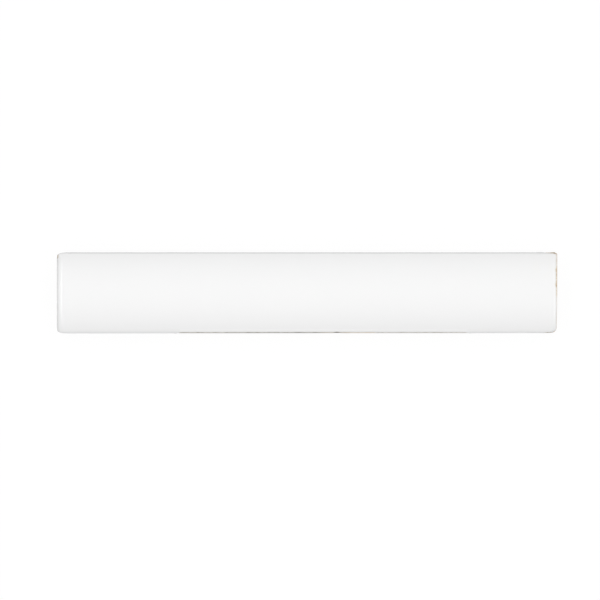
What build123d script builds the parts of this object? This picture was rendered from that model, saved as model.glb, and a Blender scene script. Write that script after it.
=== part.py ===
from build123d import *

import os
from math import cos, radians, sin, sqrt, tan

# Glazed ceramic quarter round tile: the trim that turns a tiled outside corner.
#
# The tile is one fired piece. Its section is a quarter of a ring: the glazed face outside, a hollow
# back keyed with grooves for the adhesive inside, and at each side a flat joint face that butts
# against the edge of a wall tile. It lies as it is set down on a bench, face up, on its two feet.
#
# Frame, in millimetres: X runs along the tile, Y across it and Z up out of the face. The origin is
# on the bench, under the middle of the tile.

# Driving dimensions
length = 152.4  # a nominal six inch trim piece
face_radius = 18.0  # of the glazed quarter round
wall = 8.0  # from the face to the back, as thick as the wall tiles beside it
quarter_turn = 90.0  # degrees that the face turns through, from one wall to the other
foot_trim = 0.5  # height that is blunted off the two inner corners to make the feet
arris_round = 0.8  # rounding round the joint faces, where the glaze rolls over the edge
end_round = 1.8  # rounding of the face where it meets each end
groove_count = 3  # keying grooves along the back
groove_width = 1.8
groove_depth = 0.6

# Section, worked out in the plane across the tile
half_turn = radians(quarter_turn / 2)
back_radius = face_radius - wall
centre_drop = back_radius * cos(half_turn) + foot_trim  # the arcs' centre is this far under the bench
back_crown = back_radius - centre_drop
foot_outside = centre_drop * tan(half_turn)
foot_inside = sqrt(back_radius**2 - centre_drop**2)

# Keying grooves, spread evenly over the back
groove_step = quarter_turn / (groove_count + 1)
groove_round = (groove_width**2 / 4 + groove_depth**2) / (2 * groove_depth)
groove_centre = back_radius + groove_depth - groove_round
first_groove = 90 - groove_step * (groove_count - 1) / 2

with BuildPart() as quarter_round_tile:
    with BuildSketch(Plane.YZ):
        with BuildLine():
            face = CenterArc((0, -centre_drop), face_radius, 90 - quarter_turn / 2, quarter_turn)
            Polyline(face @ 0, (foot_outside, 0), (foot_inside, 0))
            ThreePointArc((foot_inside, 0), (0, back_crown), (-foot_inside, 0))
            Polyline((-foot_inside, 0), (-foot_outside, 0), face @ 1)
        make_face()
        with Locations((0, -centre_drop)):
            with PolarLocations(groove_centre, groove_count, first_groove, groove_step * groove_count):
                Circle(groove_round, mode=Mode.SUBTRACT)
    extrude(amount=length / 2, both=True)

    # The face rounds over at both ends: these two arcs are the highest edges of the solid.
    face_ends = quarter_round_tile.edges().group_by(Axis.Z)[-1]
    fillet(face_ends, end_round)

    # Each joint face is rounded along the arris, round its corners and down its ends to the foot.
    joint_outlines = []
    for side in (-1, 1):
        joint_normal = Axis((0, 0, 0), (0, side * cos(half_turn), -sin(half_turn)))
        joint_face = quarter_round_tile.faces().filter_by(joint_normal)[0]
        joint_outlines += joint_face.edges().sort_by(Axis.Z)[1:]
    fillet(joint_outlines, arris_round)

quarter_round_tile.part.label = "quarter_round_tile"

os.makedirs("parts", exist_ok=True)
export_step(quarter_round_tile.part, "parts/quarter_round_tile.step")
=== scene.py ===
from math import cos, pi, radians, sin
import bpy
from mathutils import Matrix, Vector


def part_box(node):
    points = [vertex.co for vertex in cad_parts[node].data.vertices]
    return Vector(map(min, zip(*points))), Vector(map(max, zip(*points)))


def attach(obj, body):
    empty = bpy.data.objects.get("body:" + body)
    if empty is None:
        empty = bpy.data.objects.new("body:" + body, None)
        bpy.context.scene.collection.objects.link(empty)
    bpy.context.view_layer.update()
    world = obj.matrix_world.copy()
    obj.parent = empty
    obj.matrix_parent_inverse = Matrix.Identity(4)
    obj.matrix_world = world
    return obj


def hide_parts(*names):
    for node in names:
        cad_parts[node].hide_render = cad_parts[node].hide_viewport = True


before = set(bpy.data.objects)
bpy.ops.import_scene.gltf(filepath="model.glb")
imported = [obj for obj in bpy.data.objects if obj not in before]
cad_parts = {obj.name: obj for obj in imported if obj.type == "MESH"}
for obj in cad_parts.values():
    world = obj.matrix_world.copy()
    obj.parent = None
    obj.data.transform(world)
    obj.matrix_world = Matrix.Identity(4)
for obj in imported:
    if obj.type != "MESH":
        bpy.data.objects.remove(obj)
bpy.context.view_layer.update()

from types import SimpleNamespace

import bpy
from bpy.props import FloatProperty, FloatVectorProperty, IntProperty, PointerProperty
from mathutils import Vector

bl_info = {
    "name": "Quarter Round Tile",
    "version": (1, 0, 0),
    "blender": (4, 5, 0),
    "location": "View3D > Sidebar > Tile",
    "description": "Makes a glazed quarter round trim tile and the stage that it is shown on",
    "category": "Add Mesh",
}

mm = 0.001
node_name = "quarter_round_tile"
tile_low, tile_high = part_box(node_name)

# Grid of the tile's mesh, and how far its points crowd towards the edges, where the rounding is
points_along = 361
points_across = 97
points_through = 23
ends_crowding = 0.5
joints_crowding = 0.6
faces_crowding = 0.6
crease_angle = 0.6  # in radians: edges that turn more stay sharp
least_reach = 1e-9  # keeps a division by zero away where no edge is near
below_floor = 0.01  # what is kept of any depth below the floor, so that the feet are flat

# Attributes of the tile's mesh that its material reads
cover_name = "glaze_cover"  # how far inside the edge of the glaze a point lies, in millimetres
thin_shade_name = "thin_glaze_shade"  # how thin the glaze is over the arris and down the left end, and so how much grey paints their shade, from 0 to 1
worn_darkening_name = "darkened_worn_arris"  # how much darker colour is laid on the worn places, from 0 to 1

# Unevenness of the fired tile, as clouds of noise in each metre
slow_clouds = 90.0
quick_clouds = 420.0
drip_clouds = 160.0
patch_clouds = 300.0
face_clouds = 55.0
ripple_clouds = 480.0
crumb_clouds = 1100.0
drip_level = 0.1  # clouds that rise above this make the glaze drip

# Limits of wear. Each pair of values here says where a thing is gone, and where it is there in full
wear_down = (3.0 * mm, 2.0 * mm)  # down the joint faces
worn_by_arris = (1.6 * mm, 0.6 * mm)  # away from the arris
worn_past_end = (0.0, -0.8 * mm)  # down the ends
worn_coat_rise = (0.0, 0.4)  # as wear goes from 0 to 1

# Rubbed stretch and scuff of the near arris
rub_fade = 2.0 * mm
scuff_fade = 0.4 * mm
thin_rub_lead = 0.3 * mm
thin_rub_tail = 0.7 * mm
rub_share = 0.9  # of the full bite, on average
thin_rub_loss = 0.15  # less of it where thin glaze is left
rub_patches = 0.35  # how much it changes from patch to patch
rub_crumbs = 0.3

# Worn corners of the face
spot_full = 0.8 * mm  # from the right end, as the next two
near_spot_length = 1.8 * mm
far_spot_length = 8.0 * mm
left_spot_round = (3.2 * mm, 2.2 * mm)  # from the far left corner
left_spot_along = (6.0 * mm, 3.0 * mm)  # from the left end
left_spot_wander = 3.0 * mm
left_spot_reach = 0.42 * mm  # how far down the end the glaze still runs there

# Edge of the glaze: what moves it, how far down the wall it may run, and its reach at the right end
quick_share = 0.35
drip_share = 2.0
deepest_share = 0.75
middle_reach = 1.1  # times the right end's reach, as the next two
near_reach = 1.8  # added on the near half
far_reach = 0.8  # added by the far corner
near_reach_fade = (1.0 * mm, -4.0 * mm)
far_reach_fade = (8.3 * mm, 9.5 * mm)
bare_end_share = 0.6  # of the glaze's thickness, by which the clay stands further out at the right end

# Chip in the near arris
chip_narrowing = 1.5  # how much shorter it is across the arris than along it
chip_crumbs = 0.5  # how ragged its rim is
chip_bare = 2.0 * mm  # how far it drives the edge of the glaze back
chip_floor = (0.0, 0.5)

# Darker colour laid on the worn places, from 0 to 1, and where it stops
darkening_lead = 0.2 * mm
darkening_tail = 0.6 * mm
darkening_least = 0.85
darkening_gain = 0.3
faint_darkening = 0.15
faint_darkening_gain = 0.4
faint_darkening_full = 4.0 * mm
faint_darkening_end = 12.0 * mm
thin_rub_darkening = 0.82
spot_darkening_rise = (0.0, 0.6)
spot_darkening = 0.1
far_spot_darkening_gain = 0.3
chip_darkening_rise = (0.0, 0.2)
darkening_wander = 0.8 * mm
darkening_past_arris = (0.4 * mm, 0.0)
darkening_past_end = (0.2 * mm, -0.5 * mm)
left_darkening = 0.5
left_darkening_rise = (0.3 * mm, 0.7 * mm)
left_darkening_fall = (2.0 * mm, 0.8 * mm)
darkening_patches = 0.25

# Glaze that thins on its way over the arris, where grey paints the arrises' shade, and its thickness by
# its edge
thin_start = 1.4 * mm
near_thin_extra = 0.5 * mm
thin_full = 0.3 * mm
near_thin_loss = 0.35
left_thin = 0.5
left_thin_rise = (-0.3 * mm, 0.5 * mm)
coat_rise = (-0.1 * mm, 0.5 * mm)
worn_coat = 0.7
bead_rise = (0.0, 0.5 * mm)
bead_fall = (1.6 * mm, 0.6 * mm)
bead_clear = (6.0 * mm, 3.0 * mm)  # from the right end, where there is no bead
corner_draw_power = 4  # keeps the draw of the far left corner close to the arris

# Patterns of the glaze and the clay, as how many there are of each in a metre
ragged_bits = 2400.0
overspray_dots = 5200.0
clay_grains = 3200.0
clay_clouds = 140.0
drag_lines = Vector((45.0, 1300.0, 1300.0))  # few along the tile and many across it
small_specks = 900.0
large_specks = 330.0
clay_pores = 1500.0
darkening_streaks = 7000.0
glaze_mottles = 70.0
glaze_waves = 230.0
glaze_ripples = 900.0
blush_clouds = 300.0

# Where each pattern is gone, and where it is there in full
grain_range = (0.3, 0.7)
cloud_range = (0.25, 0.75)
mottle_range = (0.2, 0.8)
blush_range = (0.35, 0.65)
streak_range = (0.3, 0.6)
dot_range = (0.62, 0.7)
small_speck_range = (0.16, 0.08)
large_speck_range = (0.13, 0.07)
pore_range = (0.2, 0.0)
glazed_range = (-0.05, 0.1)  # in millimetres inside the edge of the glaze, as the next two
fringe_range = (0.4, 0.05)
overspray_range = (-5.0, 0.0)
blush_reach = (5.0 * mm, 1.0 * mm)

# Strength of each pattern's colour, and height of its relief
ragged_reach = 0.4
grain_share = 0.35
cloud_share = 0.35
drag_share = 0.3
speck_strength = 0.7
overspray_strength = 0.8
darkening_strength = 0.7
streak_strength = 0.4
mottle_strength = 0.02
fringe_strength = 0.7
blush_strength = 0.07
grain_height = 0.06 * mm
drag_height = 0.05 * mm
pore_depth = 0.1 * mm
wave_height = 0.012 * mm
ripple_height = 0.002 * mm

# Middle of a faint warm blush in the glaze, near the right end
blush_place = Vector((71.7 * mm, 7.5 * mm, 8.8 * mm))

# Floor: how far it reaches, how far under the feet it lies, and the strength of its own white
floor_reach = 4.0
floor_gap = 0.02 * mm
floor_white = 1.035

# The tile in the photo, in pixels of its 600 by 600 frame
photo_side = 600
photo_left = 56.85
photo_right = 557.2
photo_top = 252.0
photo_bottom = 333.5


def size(name, description, default):
    """A length that a user may change."""
    return FloatProperty(name=name, description=description, default=default, unit="LENGTH", precision=6)


def turn(name, description, default):
    """An angle that a user may change, in degrees."""
    return FloatProperty(name=name, description=description, default=radians(default), subtype="ANGLE")


def level(name, description, default):
    """A strength of light that a user may change."""
    return FloatProperty(name=name, description=description, default=default, min=0)


def share(name, description, default):
    """A number from 0 to 1 that a user may change."""
    return FloatProperty(
        name=name, description=description, default=default, subtype="FACTOR", min=0, max=1
    )


def colour(name, description, default):
    """A colour that a user may change, in linear light."""
    return FloatVectorProperty(
        name=name, description=description, default=(*default, 1), subtype="COLOR", size=4, min=0, max=1
    )


class TileShape(bpy.types.PropertyGroup):
    """Sizes of the fired tile: each is an input of its geometry tree."""

    length: size("Length", "End to end", tile_high.x - tile_low.x)
    face_radius: size("Face Radius", "Of the glazed quarter round", 18 * mm)
    wall: size("Wall", "From the face to the back", 8 * mm)
    quarter_turn: turn("Quarter Turn", "What the face turns through", 90)
    crown_height: size("Crown Height", "From the bench to the top of the face", tile_high.z)
    arris: size("Arris", "Rounding of the joint faces where they meet the face", 0.8 * mm)
    far_roll: size("Far Roll", "How much further the far arris rolls on to the face", 0.8 * mm)
    left_end_round: size("Left End Round", "Rounding of the face at the left end", 2.0 * mm)
    right_end_round: size("Right End Round", "Rounding of the face at the right end", 1.4 * mm)
    end_drop: share("End Drop", "How far the ends' rounding goes down, for its length", 0.45)
    near_left_corner: size("Near Left Corner", "Rounding of that corner of the face", 1.2 * mm)
    near_right_corner: size("Near Right Corner", "Rounding of that corner of the face", 2.6 * mm)
    far_corner: size("Far Corner", "Rounding of the face's far corners", 0.9 * mm)
    corner_draw: size("Corner Draw", "How far the far left corner draws in", 0.28 * mm)
    corner_draw_length: size("Corner Draw Length", "Of the stretch that draws in", 3.2 * mm)
    back_round: size("Back Round", "Rounding of the edges of the back", 0.4 * mm)
    groove_count: IntProperty(name="Groove Count", description="Keying grooves along the back", default=3)
    groove_width: size("Groove Width", "Of each keying groove", 1.8 * mm)
    groove_depth: size("Groove Depth", "Of each keying groove", 0.6 * mm)
    end_lean: size("End Lean", "How far the near right corner draws in", 0.2 * mm)
    end_flare: size("End Flare", "How far the far right corner stands out", 0.08 * mm)
    near_taper: size("Near Taper", "How far the near side draws in by the right end", 0.12 * mm)
    face_wave: size("Face Wave", "Unevenness of the fired face", 0.06 * mm)
    arris_ripple: size("Arris Ripple", "Unevenness of the glaze along the near arris", 0.05 * mm)
    glaze_thickness: size("Glaze Thickness", "Of the fired glaze", 0.16 * mm)
    glaze_bead: size("Glaze Bead", "Extra thickness where the glaze stops", 0.1 * mm)
    joint_reach: size("Joint Reach", "How far the glaze runs down the joint faces", 2.2 * mm)
    left_reach: size("Left Reach", "How far the glaze runs down the left end", 4.6 * mm)
    right_reach: size("Right Reach", "How far the glaze runs down the middle of the right end", 0.2 * mm)
    right_fade: share("Right Fade", "How steeply the glaze thins at the right end", 0.45)
    reach_wander: size("Reach Wander", "How far the edge of the glaze wanders", 3.2 * mm)
    right_wander: size("Right Wander", "How far it wanders at the right end", 0.9 * mm)
    bare_far: size("Far Bare Spot", "Where the right end is bare on the far side", 7.3 * mm)
    bare_middle: size("Middle Bare Spot", "Where the right end is bare by the middle", 2.5 * mm)
    bare_length: size("Bare Spot Length", "Of each bare spot of the right end", 2.6 * mm)
    bare_bite: size("Bare Spot Bite", "How far each bare spot reaches on to the face", 0.5 * mm)
    rub_start: size("Rub Start", "Left end of the rubbed stretch of the near arris", -39.6 * mm)
    # Where the darker colour on the rubbed stretch stops
    darkening_end: size("Darkening End", "Where the darker colour stops along the rubbed stretch", 3.9 * mm)
    bare_end: size("Bare End", "Where thin glaze starts along the rubbed stretch", 20.6 * mm)
    rub_end: size("Rub End", "Right end of the rubbed stretch of the near arris", 49.5 * mm)
    scuff_start: size("Scuff Start", "Left end of a scuff in the near arris", 72.3 * mm)
    scuff_end: size("Scuff End", "Right end of a scuff in the near arris", 74.8 * mm)
    rub_bite: size("Rub Bite", "How far the rubbed stretch reaches on to the face", 0.8 * mm)
    chip_place: size("Chip Place", "Where the near arris is chipped", 9.1 * mm)
    chip_length: size("Chip Length", "Of the chip in the near arris", 3.2 * mm)
    chip_depth: size("Chip Depth", "Of the chip in the near arris", 0.05 * mm)
    spot_bite: size("Spot Bite", "How far the worn far corner reaches on to the face", 1.0 * mm)
    seed: FloatProperty(name="Seed", description="Picks the unevenness", default=4.0)


class TileFinish(bpy.types.PropertyGroup):
    """Colours and gloss of the glaze and of the fired clay."""

    glaze_white: colour("Glaze White", "Glaze at its full thickness", (0.9, 0.9, 0.9))
    # Grey that paints the shade of the arrises and the left end, where the glaze is thin
    thin_glaze_shade_grey: colour("Thin Glaze Shade Grey", "Thin glaze, greyed to paint the shade of the arrises and the left end", (0.7, 0.7, 0.7))
    glaze_fringe: colour("Glaze Fringe", "Glaze so thin that the clay shows through", (0.88, 0.84, 0.76))
    clay_pale: colour("Pale Clay", "Lighter grains of the fired clay", (0.78, 0.67, 0.53))
    clay_dark: colour("Dark Clay", "Darker grains of the fired clay", (0.64, 0.49, 0.34))
    iron_speck: colour("Iron Speck", "Specks of iron in the clay", (0.2, 0.12, 0.07))
    # Darker colour laid on the bare clay of the worn arris and corners
    worn_darkening: colour("Worn Darkening", "Darker colour laid on the bare clay of the worn places", (0.14, 0.14, 0.12))
    glaze_roughness: share("Glaze Roughness", "Of the fired glaze", 0.09)
    clay_roughness: share("Clay Roughness", "Of the bare clay", 0.9)


class TileStage(bpy.types.PropertyGroup):
    """Light, floor and camera."""

    floor_pale: colour("Floor", "Colour of the floor in the light that falls on it", (0.6, 0.6, 0.6))
    floor_glow: share("Floor Glow", "How much of the floor's white is its own", 0.93)
    ambient: level("Ambient", "Light from all round", 0.49)
    overhead: level("Overhead", "Extra light from above", 0.4)
    overhead_focus: level("Overhead Focus", "How closely that light gathers above", 4.0)
    overhead_tilt: turn("Overhead Tilt", "How far it leans to the far side", 10)
    strips: level("Strips", "Brightness of the strip lights past both ends", 1.4)
    strip_turn: turn("Strip Turn", "How far the strip lights stand from straight above", 24)
    strip_distance: size("Strip Distance", "From the strip lights to the tile", 0.8)
    strip_length: size("Strip Length", "Of each strip light", 3.0)
    strip_width: size("Strip Width", "Of the right strip light", 0.28)
    left_strip_width: size("Left Strip Width", "Of the left strip light, which gives as much light", 0.14)
    camera_distance: size("Camera Distance", "From the camera down to the tile", 6.0)


class Wire:
    """A node tree, or a socket in it. An expression on wires adds its Math nodes to the tree."""

    def __init__(self, tree, socket=None):
        self.tree = tree
        self.socket = socket

    def node(self, kind, sockets=None, output=0, **settings):
        """Adds a node: its settings, then the value or link of each socket. Gives one output."""
        node = self.tree.nodes.new(kind)
        for name, value in settings.items():
            setattr(node, name, value)
        for name, value in (sockets or {}).items():
            if isinstance(value, Wire):
                self.tree.links.new(value.socket, node.inputs[name])
            else:
                node.inputs[name].default_value = value
        return Wire(self.tree, node.outputs[output] if node.outputs else None)

    def also(self, output):
        """Another output of the same node."""
        return Wire(self.tree, self.socket.node.outputs[output])

    def math(self, operation, *values):
        """The Math node for an operation on some values."""
        return self.node("ShaderNodeMath", dict(enumerate(values)), operation=operation)

    def __add__(self, other):
        return self.math("ADD", self, other)

    def __radd__(self, other):
        return self.math("ADD", other, self)

    def __sub__(self, other):
        return self.math("SUBTRACT", self, other)

    def __rsub__(self, other):
        return self.math("SUBTRACT", other, self)

    def __mul__(self, other):
        return self.math("MULTIPLY", self, other)

    def __rmul__(self, other):
        return self.math("MULTIPLY", other, self)

    def __truediv__(self, other):
        return self.math("DIVIDE", self, other)

    def __rtruediv__(self, other):
        return self.math("DIVIDE", other, self)

    def __pow__(self, other):
        return self.math("POWER", self, other)

    def __neg__(self):
        return self.math("MULTIPLY", self, -1)

    def __abs__(self):
        return self.math("ABSOLUTE", self)

    def sine(self):
        """The sine of an angle."""
        return self.math("SINE", self)

    def cosine(self):
        """The cosine of an angle."""
        return self.math("COSINE", self)

    def above(self, limit):
        """1 above a limit and 0 below it."""
        return self.math("GREATER_THAN", self, limit)

    def least(self, other):
        """The smaller of two values."""
        return self.math("MINIMUM", self, other)

    def most(self, other):
        """The larger of two values."""
        return self.math("MAXIMUM", self, other)

    def step(self, low, high):
        """0 at low, 1 at high and a soft rise between them."""
        sockets = {"Value": self, "From Min": low, "From Max": high}
        return self.node("ShaderNodeMapRange", sockets, interpolation_type="SMOOTHSTEP")

    def to(self, other, amount):
        """This value, moved towards another by an amount from 0 to 1."""
        return self + (other - self) * amount

    def tint(self, first, second):
        """The first colour where this value is 0, and the second where it is 1."""
        return self.node("ShaderNodeMix", {0: self, 6: first, 7: second}, output=2, data_type="RGBA")

    def noise(self, scale, detail=2.0, seed=0.0):
        """Cloudy noise at this place, from 0 to 1."""
        sockets = {"Vector": self, "W": seed, "Scale": scale, "Detail": detail}
        return self.node("ShaderNodeTexNoise", sockets, noise_dimensions="4D")

    def cells(self, scale):
        """How far this place is from the nearest of many scattered dots."""
        return self.node("ShaderNodeTexVoronoi", {"Vector": self, "Scale": scale})


def straight_bar(board, shape):
    """The tile before it is bent: a straight bar, with its points crowded towards the edges."""
    place = board.node("GeometryNodeInputPosition")
    along = board.node("ShaderNodeSeparateXYZ", {"Vector": place})
    across = along.also("Y")
    through = along.also("Z")

    def crowd(value, crowding):
        return value + (value * pi).sine() * (crowding / pi)

    bar = SimpleNamespace(along=along)
    bar.end_side = along.math("SIGN", along)
    bar.joint_side = across.math("SIGN", across)
    bar.right = along.above(0)
    bar.left = 1 - bar.right
    bar.far = across.above(0)
    bar.near = 1 - bar.far
    bar.farther = across.most(0)
    bar.nearer = (-across).most(0)
    bare_end = shape.glaze_thickness * bare_end_share
    half_length = shape.length / 2 - shape.glaze_bead.to(-bare_end, bar.right)
    half_arc = shape.face_radius * shape.quarter_turn / 2
    bar.x = half_length * crowd(along, ends_crowding)
    bar.arc = half_arc * crowd(across, joints_crowding)
    bar.rise = shape.wall * (crowd(through, faces_crowding) + 1) / 2
    bar.depth = shape.wall - bar.rise
    bar.from_end = half_length - abs(bar.x)
    bar.from_joint = half_arc - abs(bar.arc)
    bar.past_end = bar.depth - bar.from_end
    bar.past_joint = bar.depth - bar.from_joint
    bar.place = board.node("ShaderNodeCombineXYZ", {"X": bar.x, "Y": bar.arc, "Z": bar.rise})
    return bar


def rounded_edges(bar, shape):
    """How far each point draws in to round the bar's edges, and which way is outwards there."""
    end_round = shape.left_end_round.to(shape.right_end_round, bar.right)
    near_corner = shape.near_left_corner.to(shape.near_right_corner, bar.right)
    corner_round = near_corner.to(shape.far_corner, bar.far)
    near_face = bar.depth.step(end_round * 2, 0)
    near_end = bar.from_end.step(end_round * 2, end_round / 2)
    arris_roll = (shape.arris + shape.far_roll * bar.far).to(corner_round, near_end)
    end_width = shape.back_round.to(end_round, near_face)
    joint_width = shape.back_round.to(arris_roll, near_face)
    face_width = shape.arris.to(end_round * shape.end_drop, near_end)

    def lean(distance, width):
        return (1 - distance / width).most(0)

    # Lengths along the arc shrink towards the back, where the bent bar is shorter
    shrink = 1 - bar.depth / shape.face_radius
    to_end = lean(bar.from_end, end_width)
    to_joint = lean(bar.from_joint * shrink, joint_width)
    to_face = lean(bar.depth, face_width)
    to_back = lean(bar.rise, shape.back_round)
    upright = to_face - to_back
    steepest = to_end.most(to_joint).most(abs(upright))
    reach = (to_end**2 + to_joint**2 + upright**2 + least_reach) ** 0.5
    kept = steepest / reach
    cut = 1 - kept
    edge = SimpleNamespace()
    edge.x = -bar.end_side * end_width * to_end * cut
    edge.arc = -bar.joint_side * joint_width * to_joint * cut
    edge.rise = (shape.back_round * to_back - face_width * to_face) * cut
    edge.out_x = bar.end_side * to_end * kept
    edge.out_arc = bar.joint_side * to_joint * kept
    edge.out_rise = to_face * kept
    return edge


def unevenness(bar, shape):
    """Clouds of noise along the bar, large and small, about 0."""

    def clouds(scale, detail, pick):
        return bar.place.noise(scale, detail, shape.seed + pick) - 0.5

    rough = SimpleNamespace()
    rough.slow = clouds(slow_clouds, detail=2, pick=0)
    rough.quick = clouds(quick_clouds, detail=2, pick=1)
    rough.drip = (clouds(drip_clouds, detail=1, pick=2) - drip_level).most(0)
    rough.patch = clouds(patch_clouds, detail=2, pick=3)
    rough.face = clouds(face_clouds, detail=1, pick=4)
    rough.ripple = clouds(ripple_clouds, detail=1, pick=5)
    rough.crumbs = clouds(crumb_clouds, detail=1, pick=6)
    return rough


def worn_places(bar, shape, rough):
    """Where the near arris and three corners of the face are worn, and how far on to the face."""

    def stretch(start, end, fade):
        return bar.x.step(start - fade, start + fade / 2) * bar.x.step(end + fade, end - fade / 2)

    wear = SimpleNamespace()
    scuff = stretch(shape.scuff_start, shape.scuff_end, scuff_fade)
    wear.rubbed = stretch(shape.rub_start, shape.rub_end, rub_fade).most(scuff) * bar.near
    wear.thinly = bar.x.step(shape.bare_end - thin_rub_lead, shape.bare_end + thin_rub_tail)
    spot_length = near_spot_length + (far_spot_length - near_spot_length) * bar.far
    wear.spot = bar.right * bar.from_end.step(spot_length, spot_full)
    from_corner = (bar.from_joint**2 + bar.depth**2) ** 0.5 + rough.quick * left_spot_wander
    wear.left_spot = bar.left * bar.far * from_corner.step(*left_spot_round)
    wear.left_spot = wear.left_spot * bar.from_end.step(*left_spot_along)
    wear.worn = wear.rubbed.most(wear.spot)
    bitten = rub_share - thin_rub_loss * wear.thinly
    bitten = bitten + rough.patch * rub_patches + rough.crumbs * rub_crumbs
    wear.bite = (shape.rub_bite * bitten).to(shape.spot_bite * bar.far, wear.spot)
    return wear


def glaze_cover(bar, shape, rough, wear):
    """How far inside the edge of the glaze each point lies."""
    wander = (rough.slow + rough.quick * quick_share + rough.drip * drip_share) * shape.reach_wander
    joint_cover = (shape.joint_reach + wander).to(-wear.bite, wear.worn) - bar.past_joint
    left_cover = (shape.left_reach + wander).to(left_spot_reach, wear.left_spot) - bar.past_end

    # At the right end the glaze stops close to the face, and further back in two bare spots
    far_spot = abs(bar.arc - shape.bare_far).step(shape.bare_length / 2, 0)
    middle_spot = abs(bar.arc - shape.bare_middle).step(shape.bare_length / 2, 0)
    near_part = bar.arc.step(*near_reach_fade) * near_reach
    far_part = bar.arc.step(*far_reach_fade) * far_reach
    right_reach = shape.right_reach * (middle_reach + near_part + far_part)
    right_cover = right_reach + rough.quick * shape.right_wander - bar.past_end
    right_cover = (right_cover - far_spot.most(middle_spot) * shape.bare_bite) * shape.right_fade
    deepest = shape.wall * deepest_share - bar.depth
    return joint_cover.least(left_cover.to(right_cover, bar.right)).least(deepest)


def chipped_arris(bar, shape, rough, by_face):
    """How deep in the chip of the near arris each point lies, from 0 to 1."""
    along = (bar.x - shape.chip_place) * 2 / shape.chip_length
    down = bar.past_joint * (2 * chip_narrowing) / shape.chip_length
    chip = 1 - (along**2 + down**2) ** 0.5 + rough.crumbs * chip_crumbs
    return chip.most(0) * bar.near * by_face


def darkening_on_wear(bar, shape, rough, wear, chip, by_face):
    """How much darker colour is laid on each point: most along the first part of the rubbed stretch."""
    first = bar.near * bar.x.step(shape.darkening_end + darkening_tail, shape.darkening_end - darkening_lead)
    first = first * (darkening_least + darkening_gain * bar.x.step(shape.rub_start, shape.darkening_end))
    lighter = bar.x.step(shape.darkening_end + faint_darkening_end, shape.darkening_end + faint_darkening_full)
    rest = wear.rubbed * (faint_darkening + faint_darkening_gain * lighter).to(thin_rub_darkening, wear.thinly)
    corner = wear.spot.step(*spot_darkening_rise) * (spot_darkening + far_spot_darkening_gain * bar.far)
    darkened = first.most(rest).most(corner).most(chip.step(*chip_darkening_rise)) * wear.worn
    by_arris = (bar.past_joint + rough.quick * darkening_wander).step(*darkening_past_arris)
    darkened = darkened * (by_arris * bar.past_end.step(*darkening_past_end) * by_face)
    left_end = wear.left_spot * bar.past_end.step(*left_darkening_rise) * bar.past_end.step(*left_darkening_fall)
    return darkened.most(left_end * left_darkening) * (1 + rough.patch * darkening_patches)


def fired_glaze(bar, shape, rough):
    """The glaze on the bar: its edge, its chip, where it is worn or thin, with grey that paints the
    arrises' shade, and how much darker colour is laid on the worn places.
    """
    by_face = bar.depth.step(*wear_down)
    wear = worn_places(bar, shape, rough)
    glaze = SimpleNamespace()
    glaze.chip = chipped_arris(bar, shape, rough, by_face)
    glaze.cover = glaze_cover(bar, shape, rough, wear) - glaze.chip * chip_bare
    glaze.worn_darkening = darkening_on_wear(bar, shape, rough, wear, glaze.chip, by_face)
    by_arris = abs(bar.past_joint).step(*worn_by_arris) * bar.past_end.step(*worn_past_end)
    glaze.worn = (wear.worn.step(*worn_coat_rise) * by_arris).most(wear.left_spot)

    # The glaze thins on its way over the arris, most on the far side, and down the left end, where grey
    # paints the shade of the arrises and the end
    thin = bar.past_joint.step(-thin_start - near_thin_extra * bar.near, -thin_full)
    down_left_end = bar.past_end.step(*left_thin_rise) * bar.left * left_thin
    glaze.thin = (thin * (1 - near_thin_loss * bar.near)).most(down_left_end)
    glaze.ripple = thin * bar.near
    return glaze


def keyed_back(bar, shape, angle):
    """How deep the keying grooves are cut at each angle round the back."""
    step = shape.quarter_turn / (shape.groove_count + 1)
    count = angle / step + shape.groove_count / 2
    inside = count.above(0) * (shape.groove_count - count).above(0)
    from_middle = (count.math("FRACT", count) - 0.5) * step * (shape.face_radius - shape.wall)
    profile = (1 - (from_middle * 2 / shape.groove_width) ** 2).most(0)
    return shape.groove_depth * profile * inside * (1 - bar.rise / shape.wall)


def bent_place(board, bar, edge, rough, glaze, shape):
    """Where each point of the bar comes to lie when the bar is rounded, glazed and bent."""
    wave = rough.face * shape.face_wave + rough.ripple * shape.arris_ripple * glaze.ripple
    coat = shape.glaze_thickness * glaze.cover.step(*coat_rise).most(glaze.worn * worn_coat)
    bead = shape.glaze_bead * glaze.cover.step(*bead_rise) * glaze.cover.step(*bead_fall)
    bead = bead * (1 - bar.right * bar.from_end.step(*bead_clear))
    chip = shape.chip_depth * glaze.chip.step(*chip_floor)
    out = coat + bead + wave - shape.glaze_thickness - chip

    back_radius = shape.face_radius - shape.wall
    radius = back_radius + bar.rise + edge.rise + edge.out_rise * out
    angle = bar.arc / shape.face_radius + (edge.arc + edge.out_arc * out) / radius
    radius = radius + keyed_back(bar, shape, angle)

    # Small differences between the corners
    right_end = shape.end_flare * bar.farther - shape.end_lean * bar.nearer**2
    taper = shape.near_taper * (bar.along + 1) / 2 * bar.nearer
    draw = shape.corner_draw * bar.from_end.step(shape.corner_draw_length, 0) * bar.left
    draw = draw * bar.rise / shape.wall * bar.farther**corner_draw_power

    x = bar.x + edge.x + edge.out_x * out + right_end * bar.along.most(0)
    y = radius * angle.sine() + taper - draw
    z = radius * angle.cosine() + shape.crown_height - shape.face_radius
    return board.node("ShaderNodeCombineXYZ", {"X": x, "Y": y, "Z": z.most(z * below_floor)})


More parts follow.
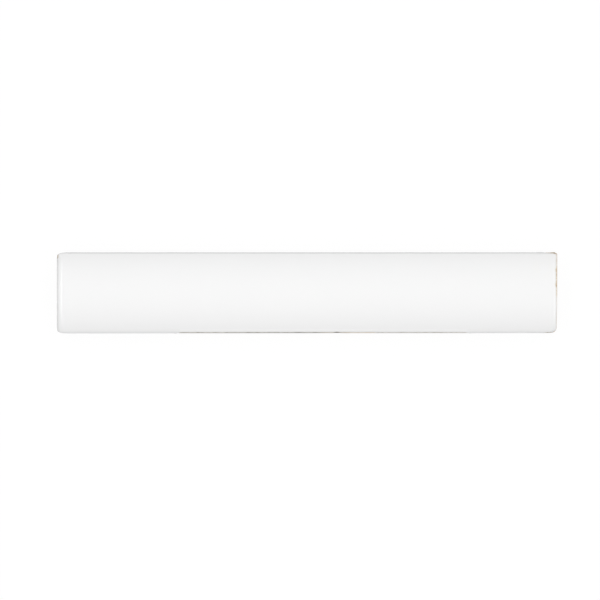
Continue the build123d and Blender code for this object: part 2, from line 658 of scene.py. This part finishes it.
def tile_tree(settings, material):
    """The geometry tree that makes the tile, with an input for each size, and the inputs' identifiers."""
    tree = bpy.data.node_groups.new("Quarter Round Tile", "GeometryNodeTree")
    tree.interface.new_socket("Geometry", in_out="OUTPUT", socket_type="NodeSocketGeometry")
    board = Wire(tree)
    entry = tree.nodes.new("NodeGroupInput")
    shape = SimpleNamespace()
    identifiers = {}
    for key, kind in settings.bl_rna.properties.items():
        if kind.type not in {"FLOAT", "INT"}:
            continue
        socket_type = "NodeSocketInt" if kind.type == "INT" else "NodeSocketFloat"
        socket = tree.interface.new_socket(kind.name, in_out="INPUT", socket_type=socket_type)
        socket.description = kind.description
        identifiers[key] = socket.identifier
        setattr(shape, key, Wire(tree, entry.outputs[kind.name]))

    bar = straight_bar(board, shape)
    edge = rounded_edges(bar, shape)
    rough = unevenness(bar, shape)
    glaze = fired_glaze(bar, shape, rough)
    place = bent_place(board, bar, edge, rough, glaze, shape)

    grid = {
        "Size": (2, 2, 2),
        "Vertices X": points_along,
        "Vertices Y": points_across,
        "Vertices Z": points_through,
    }
    body = board.node("GeometryNodeMeshCube", grid)
    notes = {cover_name: glaze.cover / mm, thin_shade_name: glaze.thin, worn_darkening_name: glaze.worn_darkening}
    for name, value in notes.items():
        sockets = {"Geometry": body, "Name": name, "Value": value}
        body = board.node("GeometryNodeStoreNamedAttribute", sockets)
    body = board.node("GeometryNodeSetPosition", {"Geometry": body, "Position": place})
    body = board.node("GeometryNodeSetShadeSmooth", {"Geometry": body})
    angle = board.node("GeometryNodeInputMeshEdgeAngle")
    sharp = {"Geometry": body, "Selection": angle.above(crease_angle)}
    body = board.node("GeometryNodeSetShadeSmooth", {**sharp, "Shade Smooth": False}, domain="EDGE")
    body = board.node("GeometryNodeRealizeInstances", {"Geometry": body})
    body = board.node("GeometryNodeSetMaterial", {"Geometry": body, "Material": material})
    board.node("NodeGroupOutput", {"Geometry": body})
    return tree, identifiers


def clay_look(board, place, cover, darkened, finish):
    """Colour and relief of the bare clay: two tones of grain, iron specks, overspray and a darker colour
    on the worn places.
    """
    grain = place.noise(clay_grains, detail=3, seed=5).step(*grain_range)
    cloud = place.noise(clay_clouds, detail=3, seed=6).step(*cloud_range)
    drawn = board.node(
        "ShaderNodeVectorMath", {0: place, 1: drag_lines}, output="Vector", operation="MULTIPLY"
    )
    drag = drawn.noise(1, detail=2, seed=11).step(*grain_range)
    tone = grain * grain_share + cloud * cloud_share + drag * drag_share
    clay = tone.tint(tuple(finish.clay_pale), tuple(finish.clay_dark))

    specks = place.cells(small_specks).step(*small_speck_range)
    specks = specks.most(place.cells(large_specks).step(*large_speck_range))
    clay = (specks * speck_strength).tint(clay, tuple(finish.iron_speck))
    dots = place.noise(overspray_dots, detail=1, seed=2).step(*dot_range)
    overspray = dots * cover.step(*overspray_range) * overspray_strength
    clay = overspray.tint(clay, tuple(finish.glaze_white))
    # Darker colour, in streaks, laid on the worn places
    streak = place.noise(darkening_streaks, detail=2, seed=12).step(*streak_range)
    clay = (darkened * (darkening_strength + streak * streak_strength)).tint(clay, tuple(finish.worn_darkening))

    pores = place.cells(clay_pores).step(*pore_range)
    relief = grain * grain_height + drag * drag_height - pores * pore_depth
    return clay, relief


def glaze_look(board, place, thin_and_shade, fringe, finish):
    """Colour and relief of the glaze: white, grey where it is thin as painted shade of the arrises and the
    left end, and warmer along its fringe.
    """
    mottle = place.noise(glaze_mottles, detail=3, seed=7).step(*mottle_range)
    thin_and_shade = thin_and_shade + mottle * mottle_strength
    white = thin_and_shade.tint(tuple(finish.glaze_white), tuple(finish.thin_glaze_shade_grey))
    from_blush = board.node(
        "ShaderNodeVectorMath", {0: place, 1: blush_place}, output="Value", operation="DISTANCE"
    )
    blush = place.noise(blush_clouds, detail=1, seed=10).step(*blush_range)
    blush = from_blush.step(*blush_reach) * blush
    warm = (fringe * fringe_strength).most(blush * blush_strength)
    white = warm.tint(white, tuple(finish.glaze_fringe))

    wave = place.noise(glaze_waves, detail=1, seed=8)
    ripple = place.noise(glaze_ripples, detail=1, seed=9)
    return white, wave * wave_height + ripple * ripple_height


def glazed_clay(finish):
    """White gloss glaze over a buff fired clay, which shows where the glaze stops or is worn."""
    material = bpy.data.materials.new("glazed_clay")
    material.use_nodes = True
    material.node_tree.nodes.clear()
    board = Wire(material.node_tree)
    place = board.node("ShaderNodeTexCoord", output="Object")
    cover = board.node("ShaderNodeAttribute", output="Fac", attribute_name=cover_name)
    # Thin glaze over the arrises, and how much grey paints their shade
    thin_and_shade = board.node("ShaderNodeAttribute", output="Fac", attribute_name=thin_shade_name)
    # How much darker colour is laid on the worn places
    darkened = board.node("ShaderNodeAttribute", output="Fac", attribute_name=worn_darkening_name)

    ragged = cover + (place.noise(ragged_bits, detail=3) - 0.5) * ragged_reach
    glazed = ragged.step(*glazed_range)
    fringe = ragged.step(*fringe_range)
    clay, clay_relief = clay_look(board, place, cover, darkened, finish)
    white, glaze_relief = glaze_look(board, place, thin_and_shade, fringe, finish)
    height = clay_relief.to(glaze_relief, glazed)
    bump = board.node("ShaderNodeBump", {"Height": height, "Distance": 1})
    gloss = finish.clay_roughness + (finish.glaze_roughness - finish.clay_roughness) * glazed
    sockets = {"Base Color": glazed.tint(clay, white), "Roughness": gloss, "Normal": bump}
    shader = board.node("ShaderNodeBsdfPrincipled", sockets)
    board.node("ShaderNodeOutputMaterial", {"Surface": shader})
    return material


class MESH_OT_quarter_round_tile(bpy.types.Operator):
    """Make the fired and glazed tile"""

    bl_idname = "mesh.quarter_round_tile"
    bl_label = "Quarter Round Tile"

    def execute(self, context):
        settings = context.scene.tile_shape
        material = glazed_clay(context.scene.tile_finish)
        tree, identifiers = tile_tree(settings, material)
        tile = bpy.data.objects.new("glazed_tile", bpy.data.meshes.new("glazed_tile"))
        context.scene.collection.objects.link(tile)
        maker = tile.modifiers.new("Quarter Round Tile", "NODES")
        maker.node_group = tree
        for key, identifier in identifiers.items():
            maker[identifier] = getattr(settings, key)
        context.view_layer.update()
        graph = context.evaluated_depsgraph_get()
        made = bpy.data.meshes.new_from_object(
            tile.evaluated_get(graph), preserve_all_data_layers=True, depsgraph=graph
        )
        if not made.polygons:
            raise RuntimeError("the geometry tree made no tile")
        tile.modifiers.remove(maker)
        tile.data = made
        made.name = tile.name
        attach(tile, "root")
        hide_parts(node_name)
        return {"FINISHED"}


def studio_world(stage):
    """Soft light from all round, more of it from above, in front of a white background."""
    world = bpy.data.worlds.new("studio")
    world.use_nodes = True
    world.node_tree.nodes.clear()
    board = Wire(world.node_tree)
    direction = board.node("ShaderNodeTexCoord", output="Generated")
    upwards = (0, sin(stage.overhead_tilt), cos(stage.overhead_tilt))
    facing = board.node(
        "ShaderNodeVectorMath", {0: direction, 1: upwards}, output="Value", operation="DOT_PRODUCT"
    )
    light = stage.ambient + stage.overhead * facing.most(0) ** stage.overhead_focus
    seen = board.node("ShaderNodeLightPath", output="Is Camera Ray")
    mirrored = seen.also("Is Glossy Ray").most(seen.also("Is Transmission Ray"))
    strength = light.to(light.most(1), mirrored).to(1, seen)
    shader = board.node("ShaderNodeBackground", {"Color": (1, 1, 1, 1), "Strength": strength})
    board.node("ShaderNodeOutputWorld", {"Surface": shader})
    return world


def pale_floor(stage):
    """A pale floor that is seen and mirrored as white, and keeps the tile's shadow."""
    material = bpy.data.materials.new("pale_floor")
    material.use_nodes = True
    material.node_tree.nodes.clear()
    board = Wire(material.node_tree)
    matt = board.node("ShaderNodeBsdfDiffuse", {"Color": tuple(stage.floor_pale)})
    glow = board.node("ShaderNodeEmission", {"Color": (1, 1, 1, 1), "Strength": floor_white})
    seen = board.node("ShaderNodeLightPath", output="Is Camera Ray")
    seen = seen.most(seen.also("Is Glossy Ray")).most(seen.also("Is Transmission Ray"))
    mixed = board.node("ShaderNodeMixShader", {0: seen * stage.floor_glow, 1: matt, 2: glow})
    board.node("ShaderNodeOutputMaterial", {"Surface": mixed})
    return material


def strip_light(name, side, width, stage, target):
    """A long soft light past one end of the tile."""
    lamp = bpy.data.lights.new(name, "AREA")
    lamp.shape = "RECTANGLE"
    lamp.size = stage.strip_length
    lamp.size_y = width
    lamp.energy = pi * stage.strip_length * stage.strip_width * stage.strips
    outwards = Vector((side * sin(stage.strip_turn), 0, cos(stage.strip_turn)))
    strip = bpy.data.objects.new(name, lamp)
    strip.location = target + outwards * stage.strip_distance
    strip.rotation_euler = outwards.to_track_quat("Z", "Y").to_euler()
    bpy.context.scene.collection.objects.link(strip)


class SCENE_OT_tile_stage(bpy.types.Operator):
    """Make the floor, the lights and the camera that looks straight down on the tile"""

    bl_idname = "scene.tile_stage"
    bl_label = "Tile Stage"

    def execute(self, context):
        scene = context.scene
        stage = scene.tile_stage
        scene.view_settings.view_transform = "Standard"
        scene.world = studio_world(stage)

        reach = floor_reach
        sheet = bpy.data.meshes.new("floor")
        corners = [(-reach, -reach, 0), (reach, -reach, 0), (reach, reach, 0), (-reach, reach, 0)]
        sheet.from_pydata(corners, [], [(0, 1, 2, 3)])
        sheet.materials.append(pale_floor(stage))
        floor = bpy.data.objects.new("floor", sheet)
        floor.location.z = -floor_gap
        scene.collection.objects.link(floor)

        middle = (tile_low + tile_high) / 2
        strip_light("left_light", -1, stage.left_strip_width, stage, middle)
        strip_light("right_light", 1, stage.strip_width, stage, middle)

        pixel = (tile_high.x - tile_low.x) / (photo_right - photo_left)
        lens = bpy.data.cameras.new("camera")
        lens.lens = lens.sensor_width * stage.camera_distance / (photo_side * pixel)
        camera = bpy.data.objects.new("camera", lens)
        camera.location = (
            middle.x + (photo_side - photo_left - photo_right) / 2 * pixel,
            middle.y - (photo_side - photo_top - photo_bottom) / 2 * pixel,
            middle.z + stage.camera_distance,
        )
        scene.collection.objects.link(camera)
        scene.camera = camera
        return {"FINISHED"}


class VIEW3D_PT_quarter_round_tile(bpy.types.Panel):
    """Sidebar panel with the tile, its finish and its stage"""

    bl_label = "Quarter Round Tile"
    bl_space_type = "VIEW_3D"
    bl_region_type = "UI"
    bl_category = "Tile"

    def draw(self, context):
        scene = context.scene
        for settings in (scene.tile_shape, scene.tile_finish, scene.tile_stage):
            column = self.layout.column()
            for key, kind in settings.bl_rna.properties.items():
                if kind.type in {"FLOAT", "INT"}:
                    column.prop(settings, key)
        self.layout.operator(MESH_OT_quarter_round_tile.bl_idname)
        self.layout.operator(SCENE_OT_tile_stage.bl_idname)


groups = {"tile_shape": TileShape, "tile_finish": TileFinish, "tile_stage": TileStage}
classes = (*groups.values(), MESH_OT_quarter_round_tile, SCENE_OT_tile_stage, VIEW3D_PT_quarter_round_tile)


def register():
    """Adds the classes to Blender, and their settings to the scene."""
    for kind in classes:
        bpy.utils.register_class(kind)
    for name, group in groups.items():
        setattr(bpy.types.Scene, name, PointerProperty(type=group))


def unregister():
    """Takes the settings and the classes away again."""
    for name in groups:
        delattr(bpy.types.Scene, name)
    for kind in reversed(classes):
        bpy.utils.unregister_class(kind)


def main():
    """Makes the tile and its stage."""
    register()
    bpy.ops.mesh.quarter_round_tile()
    bpy.ops.scene.tile_stage()


if __name__ == "__main__":
    main()
